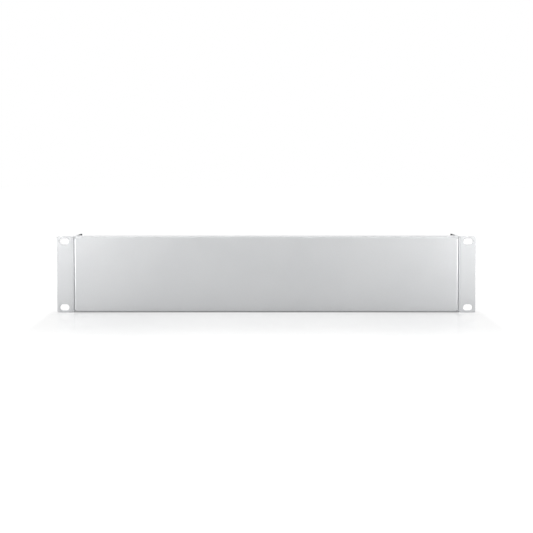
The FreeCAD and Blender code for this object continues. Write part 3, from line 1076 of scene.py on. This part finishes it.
@dataclass(frozen=True)
class Floor:
    """A plain pale floor that glows to look white, and takes the panel's shadow and painted shade.

    Only the eye and glossy or clear surfaces see the glow, so it lights nothing else, and it
    isn't even. For the eye it is weaker in front of the panel, weakest towards the ears, and a
    little weaker just behind it: a painted shadow round the panel, added to the shadow that the
    lamps cast. For glossy surfaces it rises with the distance from the panel: painted shade on
    the floor under the panel, as surfaces mirror it. Near the panel the floor is also polished,
    for the eye only.

    Attributes:
        reach: Half the floor's width.
        squares: How many squares the floor has along each edge.
        tone: How light the floor itself is.
        painted_shade_glow_before: The glow for the eye in front of the panel, in the middle and by
            the ears, weakened as painted shade.
        before_span: How far from the middle it starts and ends to pass from one to the other.
        side_step: How wide the step to the full glow beside the ears is.
        painted_shade_glow_behind: The glow for the eye just behind the panel's front, weakened as
            painted shade.
        behind_step: How wide the step to it is.
        open_span: The distance where the full glow starts to return, and where it is back.
        painted_shade_gloss_reach: The distance where glossy surfaces see the full glow, and the
            painted shade under the panel ends.
        gloss_rise: The power of the distance that the glow for them follows.
        polish: How much the polished floor mirrors.
        front_step: How wide the band at the panel's front is where it mirrors half as much.
        polish_fade: The distance where the polish starts to fade, and where it is gone.
        roughness: How rough the polish is.
    """

    reach: float = 12.0
    squares: int = 24
    tone: float = 0.30
    painted_shade_glow_before: tuple[float, float] = (0.83, 0.70)
    before_span: tuple[float, float] = (0.05, 0.22)
    side_step: float = 0.02
    painted_shade_glow_behind: float = 0.92
    behind_step: float = 0.05
    open_span: tuple[float, float] = (0.12, 0.45)
    painted_shade_gloss_reach: float = 1.2
    gloss_rise: float = 0.25
    polish: float = 0.36
    front_step: float = 0.025
    polish_fade: tuple[float, float] = (0.08, 0.36)
    roughness: float = 0.015

    def build(self) -> None:
        """Lays the floor under the panel."""
        mesh = bmesh.new()
        bmesh.ops.create_grid(
            mesh, x_segments=self.squares, y_segments=self.squares, size=self.reach
        )
        bmesh.ops.translate(mesh, vec=(0, 0, CAD_LOW.z), verts=mesh.verts)
        data = bpy.data.meshes.new("floor")
        mesh.to_mesh(data)
        mesh.free()
        floor = bpy.data.objects.new("floor", data)
        bpy.context.scene.collection.objects.link(floor)
        data.materials.append(self._material())

    def _places(self, wiring: Wiring) -> tuple[bpy.types.NodeSocket, ...]:
        """Measures where a place on the floor lies.

        Args:
            wiring: The floor's node tree.

        Returns:
            How far the place is to the side of the panel's middle, how far it is behind the
            back faces of the ears, and how far it is from the space under the panel.
        """
        place = wiring.add("ShaderNodeTexCoord").outputs["Object"]
        parts = wiring.add("ShaderNodeSeparateXYZ", {"Vector": place})
        offs, squares = [], []
        for axis, label in enumerate("XY"):
            middle = (CAD_LOW[axis] + CAD_HIGH[axis]) / 2
            half = (CAD_HIGH[axis] - CAD_LOW[axis]) / 2
            off = wiring.math("ABSOLUTE", wiring.math("SUBTRACT", parts.outputs[label], middle))
            beyond = wiring.math("MAXIMUM", wiring.math("SUBTRACT", off, half), 0.0)
            offs.append(off)
            squares.append(wiring.math("POWER", beyond, 2.0))
        distance = wiring.math("SQRT", wiring.math("ADD", *squares))
        return offs[0], parts.outputs["Y"], distance

    def _glow_with_painted_shade(
        self,
        wiring: Wiring,
        aside: bpy.types.NodeSocket,
        behind: bpy.types.NodeSocket,
        distance: bpy.types.NodeSocket,
    ) -> bpy.types.NodeSocket:
        """Works out the strength of the glow, with painted shade near the panel.

        Args:
            wiring: The floor's node tree.
            aside: How far a place is to the side of the panel's middle.
            behind: How far it is behind the back faces of the ears.
            distance: How far it is from the space under the panel.

        Returns:
            The strength, which differs between the eye and glossy or clear surfaces.
        """
        half = (CAD_HIGH.x - CAD_LOW.x) / 2
        # The glow for the eye is weaker near the panel: a painted shadow.
        before = wiring.ease(aside, *self.before_span, *self.painted_shade_glow_before)
        beside = wiring.ease(aside, half, half + self.side_step, before, 1.0)
        close = wiring.ease(behind, 0.0, self.behind_step, beside, self.painted_shade_glow_behind)
        eye_glow_with_painted_shade = wiring.ease(distance, *self.open_span, close, 1.0)
        # The glow that glossy surfaces see fades towards the panel: painted shade in reflections.
        share = wiring.math("DIVIDE", distance, self.painted_shade_gloss_reach)
        gloss_glow_with_painted_shade = wiring.math("MINIMUM", wiring.math("POWER", share, self.gloss_rise), 1.0)
        for_gloss = wiring.math("MULTIPLY", seen_by_gloss(wiring), gloss_glow_with_painted_shade)
        return wiring.math("MULTIPLY_ADD", seen_by_eye(wiring), eye_glow_with_painted_shade, for_gloss)

    def _material(self) -> bpy.types.Material:
        """Joins the floor's own tone, its glow with its painted shade, and its polish."""
        material = bpy.data.materials.new("pale_floor")
        material.use_nodes = True
        wiring = Wiring(material.node_tree)
        aside, behind, distance = self._places(wiring)
        shade = wiring.add("ShaderNodeBsdfDiffuse", {"Color": (self.tone,) * 3 + (1.0,)})
        strength = self._glow_with_painted_shade(wiring, aside, behind, distance)
        glow = wiring.add("ShaderNodeEmission", {"Strength": strength})
        body = wiring.add(
            "ShaderNodeAddShader", {0: shade.outputs["BSDF"], 1: glow.outputs["Emission"]}
        )
        mirror = wiring.add(
            "ShaderNodeBsdfAnisotropic", {"Color": (1.0,) * 4, "Roughness": self.roughness}
        )
        from_front = wiring.math("ABSOLUTE", behind)
        near_front = wiring.ease(from_front, 0.0, self.front_step, self.polish / 2, self.polish)
        near_panel = wiring.ease(distance, *self.polish_fade, self.polish, 0.0)
        polished = wiring.math("MINIMUM", near_front, near_panel)
        polish = wiring.math("MULTIPLY", seen_by_eye(wiring), polished)
        floor = wiring.add(
            "ShaderNodeMixShader",
            {0: polish, 1: body.outputs["Shader"], 2: mirror.outputs["BSDF"]},
        )
        wiring.add("ShaderNodeOutputMaterial", {"Surface": floor.outputs["Shader"]})
        return material


def seen_by_eye(wiring: Wiring) -> bpy.types.NodeSocket:
    """Gives 1 where the eye looks, and 0 for all other light."""
    return wiring.add("ShaderNodeLightPath").outputs["Is Camera Ray"]


def seen_by_gloss(wiring: Wiring) -> bpy.types.NodeSocket:
    """Gives 1 where a glossy or a clear surface looks, and 0 for all other light."""
    path = wiring.add("ShaderNodeLightPath").outputs
    return wiring.math("MAXIMUM", path["Is Glossy Ray"], path["Is Transmission Ray"])


@dataclass(frozen=True)
class Studio:
    """The white studio: its lamps, its floor, its background and its camera."""

    boxes: tuple[SoftBox, ...] = (
        SoftBox("left_front_box", (-0.46, -0.86, 0.21), 0.30, 0.40, 0.8),
        SoftBox("right_front_box", (0.46, -0.86, 0.21), 0.30, 0.40, 0.81),
        SoftBox("left_near_box", (-0.50, -0.28, 0.08), 0.20, 0.20, 0.96),
        SoftBox("right_near_box", (0.50, -0.28, 0.08), 0.20, 0.20, 0.98),
        SoftBox("front_strip", (0.0, -0.85, 0.26), 2.40, 0.06, 2.6),
        SoftBox("top_box", (0.0, 0.35, 0.60), 0.90, 0.30, 2.2),
        SoftBox("left_rear_box", (-0.60, 0.95, 0.35), 0.50, 0.50, 1.6),
        SoftBox("right_rear_box", (0.60, 0.95, 0.35), 0.50, 0.50, 1.6),
    )
    fill: float = 0.1
    lens: float = 97.7
    sensor: float = 36.0
    eye: tuple[float, float, float] = (0.0002, -1.665, 0.1181)
    tilt: float = 3.75

    def build(self) -> None:
        """Sets up the studio round the panel."""
        for box in self.boxes:
            box.build()
        Floor().build()
        self._paint_world()
        self._place_camera()
        bpy.context.scene.view_settings.view_transform = "Standard"

    def _paint_world(self) -> None:
        """Makes the background white to look at, and gentle as a source of light."""
        world = bpy.data.worlds.new("studio")
        world.use_nodes = True
        wiring = Wiring(world.node_tree)
        seen = wiring.math("MAXIMUM", seen_by_eye(wiring), seen_by_gloss(wiring))
        strength = wiring.ease(seen, 0.0, 1.0, self.fill, 1.0)
        light = wiring.add(
            "ShaderNodeBackground", {"Color": (1.0,) * 4, "Strength": strength}
        )
        wiring.add("ShaderNodeOutputWorld", {"Surface": light.outputs["Background"]})
        bpy.context.scene.world = world

    def _place_camera(self) -> None:
        """Stands the camera in front of the panel, a little above it."""
        data = bpy.data.cameras.new("camera")
        data.lens = self.lens
        data.sensor_width = self.sensor
        camera = bpy.data.objects.new("camera", data)
        camera.location = self.eye
        camera.rotation_euler = Euler((math.radians(90.0 - self.tilt), 0.0, 0.0))
        bpy.context.scene.collection.objects.link(camera)
        bpy.context.scene.camera = camera


# ------------------------------------------------------------------ assembly


def main() -> None:
    """Builds every piece in order, dresses it and sets up the studio."""
    texture, handling = make_coat_texture(), make_handling()
    silver = SILVER_COAT.build(texture, handling)
    # The dark grey for the legs' inner faces is painted shade.
    leg_painted_shade = INNER_FACE_PAINTED_SHADE.build(texture, handling)
    zinc = ZINC_PLATE.build(texture, handling)
    row = FastenerRow()

    outfit(FrontPanel().build(row), "front_panel", "silver_paint", silver)
    for side in Side:
        bracket = EarBracket().build(side, row)
        # A bracket's second material is the painted shade on its leg's inner face.
        outfit(bracket, f"{side.value}_ear_bracket", "silver_paint", silver, leg_painted_shade)
        screws = BracketScrew().build(side, row)
        outfit(screws, f"{side.value}_bracket_screws", "zinc_plate", zinc)
        nuts = ClinchNut().build(side, row)
        outfit(nuts, f"{side.value}_clinch_nuts", "zinc_plate", zinc)
    Studio().build()


if __name__ == "__main__":
    logging.basicConfig(level=logging.INFO, format="%(name)s: %(message)s")
    main()
